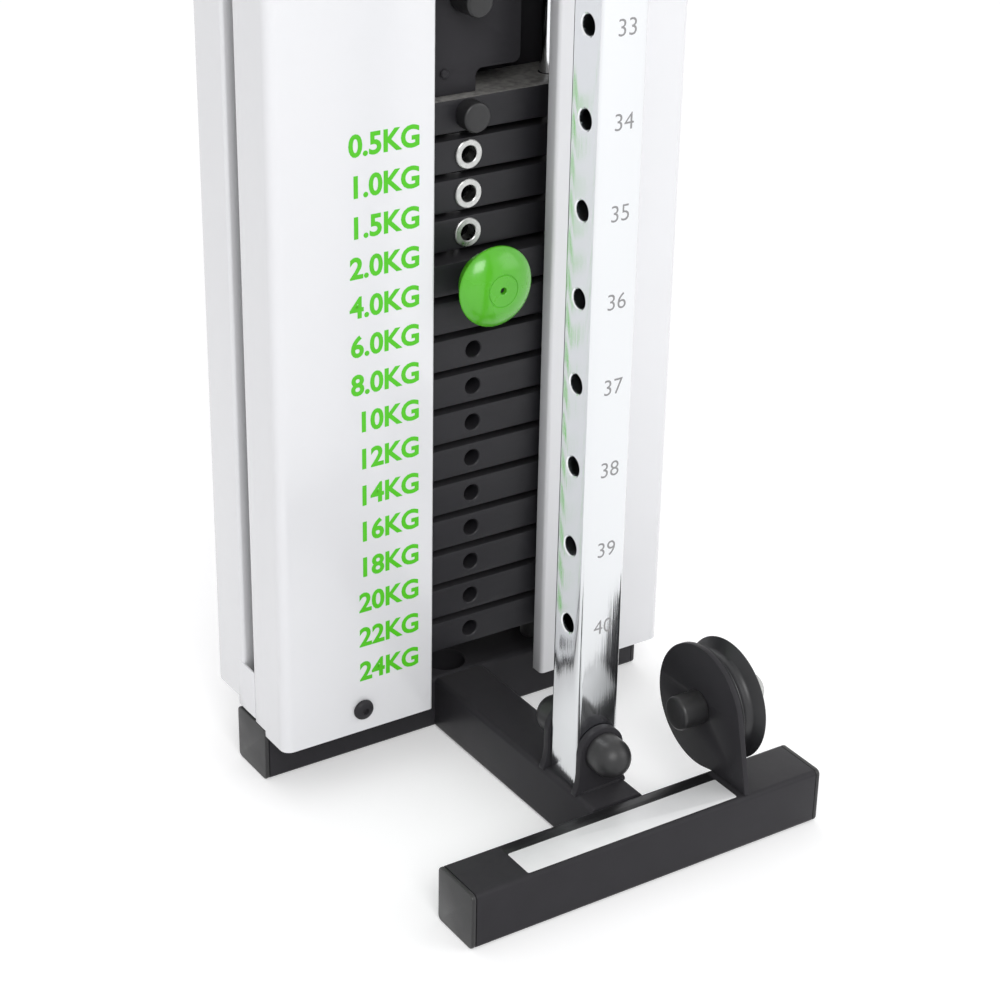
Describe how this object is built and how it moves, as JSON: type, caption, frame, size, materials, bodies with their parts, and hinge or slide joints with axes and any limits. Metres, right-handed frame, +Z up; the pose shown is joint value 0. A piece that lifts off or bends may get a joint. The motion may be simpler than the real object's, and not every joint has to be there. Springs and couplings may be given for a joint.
{
  "type": "cable pulley tower",
  "caption": "Slim cable pulley tower: a drilled chrome column with a sliding swivel pulley, a base pulley, and a covered weight stack with a selector pin.",
  "frame": {"origin": "on the floor, under the middle of the bounding box", "axes": "+Z up along the column; -Y is the side that the user faces, where the column stands; +X is the side of the base pulley"},
  "size_m": [0.295, 0.2952, 2.3406],
  "materials": {
    "black_coat": "satin black powder coat",
    "white_coat": "gloss white powder coat",
    "chrome": "polished chrome",
    "steel": "bright turned steel",
    "zinc": "zinc plated",
    "plate_steel": "satin black steel plate",
    "plate_aluminium": "satin black coated aluminium",
    "rubber": "matt black",
    "nylon": "black machined plastic",
    "black_plastic": "black moulded plastic",
    "green_plastic": "gloss green"
  },
  "bodies": {
    "frame": {"base_rear_bar": "black_coat", "base_front_bar": "black_coat", "base_spine": "black_coat", "rear_bar_cap_left": "black_plastic", "rear_bar_cap_right": "black_plastic", "front_bar_cap_left": "black_plastic", "front_bar_cap_right": "black_plastic", "column": "chrome", "column_foot_bolt": "zinc", "foot_dome_front": "black_plastic", "foot_dome_rear": "black_plastic", "base_pulley_plate": "black_coat", "base_pulley_bolt": "zinc", "base_pulley_cap": "black_plastic", "front_cover_left": "white_coat", "front_cover_right": "white_coat", "rear_cover": "white_coat", "upright_left": "black_coat", "upright_right": "black_coat", "back_panel": "black_coat", "guide_rod_left": "chrome", "guide_rod_right": "chrome", "stack_buffer_left": "rubber", "stack_buffer_right": "rubber", "top_plate": "black_coat", "wall_bar": "black_coat", "weight_plate_24kg": "plate_steel", "weight_plate_22kg": "plate_steel", "weight_plate_20kg": "plate_steel", "weight_plate_18kg": "plate_steel", "weight_plate_16kg": "plate_steel", "weight_plate_14kg": "plate_steel", "weight_plate_12kg": "plate_steel", "weight_plate_10kg": "plate_steel", "weight_plate_08kg": "plate_steel", "weight_plate_06kg": "plate_steel"},
    "stack": {"weight_plate_04kg": "plate_steel", "weight_plate_2_0kg": "plate_aluminium", "weight_plate_1_5kg": "plate_aluminium", "weight_plate_1_0kg": "plate_aluminium", "head_plate": "plate_aluminium", "selector_stem": "steel", "lift_bracket": "black_coat", "lift_bolt": "zinc", "lift_bolt_cap": "black_plastic"},
    "selector": {"selector_pin": "steel", "selector_knob": "green_plastic"},
    "lift_wheel": {"lift_pulley": "nylon"},
    "base_wheel": {"base_pulley": "nylon"},
    "top_wheel_rear_1": {"top_pulley_rear_1": "nylon"},
    "top_wheel_front_1": {"top_pulley_front_1": "nylon"},
    "top_wheel_rear_2": {"top_pulley_rear_2": "nylon"},
    "top_wheel_front_2": {"top_pulley_front_2": "nylon"},
    "carriage": {"carriage_body": "black_coat", "carriage_liner": "nylon"},
    "lock": {"lock_pin": "steel", "lock_pin_knob": "black_plastic"},
    "fork": {"swivel_fork": "black_coat", "fork_bolt": "zinc"},
    "fork_wheel": {"fork_pulley": "nylon"}
  },
  "joints": [
    {"name": "stack_lift", "type": "slide", "parent": "frame", "child": "stack", "axis": [0, 0, 1], "range_m": [0, 1.2]},
    {"name": "selector_pull", "type": "slide", "parent": "stack", "child": "selector", "axis": [0, -1, 0], "range_m": [0, 0.05]},
    {"name": "lift_pulley_spin", "type": "hinge", "parent": "stack", "child": "lift_wheel", "pos_m": [0, 0.0934, 0.49725], "axis": [0, 1, 0], "continuous": true},
    {"name": "base_pulley_spin", "type": "hinge", "parent": "frame", "child": "base_wheel", "pos_m": [0.0843, -0.0951, 0.0765], "axis": [1, 0, 0], "continuous": true},
    {"name": "carriage_height", "type": "slide", "parent": "frame", "child": "carriage", "axis": [0, 0, 1], "range_m": [-0.945, 1.1025]},
    {"name": "lock_pin_push", "type": "slide", "parent": "carriage", "child": "lock", "axis": [1, 0, 0], "range_m": [0, 0.01]},
    {"name": "fork_swivel", "type": "hinge", "parent": "carriage", "child": "fork", "pos_m": [0.0843, -0.0611, 1.0945], "axis": [0, 0, 1], "range_deg": [-90, 90]},
    {"name": "fork_pulley_spin", "type": "hinge", "parent": "fork", "child": "fork_wheel", "pos_m": [0.0843, -0.0851, 1.1065], "axis": [1, 0, 0], "continuous": true},
    {"name": "top_pulley_rear_1_spin", "type": "hinge", "parent": "frame", "child": "top_wheel_rear_1", "pos_m": [0.04267, 0.06678, 2.3084], "axis": [0.9509, 0.3096, 0], "continuous": true},
    {"name": "top_pulley_front_1_spin", "type": "hinge", "parent": "frame", "child": "top_wheel_front_1", "pos_m": [0.07563, -0.03447, 2.3084], "axis": [0.9509, 0.3096, 0], "continuous": true},
    {"name": "top_pulley_rear_2_spin", "type": "hinge", "parent": "frame", "child": "top_wheel_rear_2", "pos_m": [-0.02085, 0.06868, 2.3084], "axis": [0.883, 0.4695, 0], "continuous": true},
    {"name": "top_pulley_front_2_spin", "type": "hinge", "parent": "frame", "child": "top_wheel_front_2", "pos_m": [0.07115, -0.10438, 2.3084], "axis": [0.883, 0.4695, 0], "continuous": true}
  ]
}
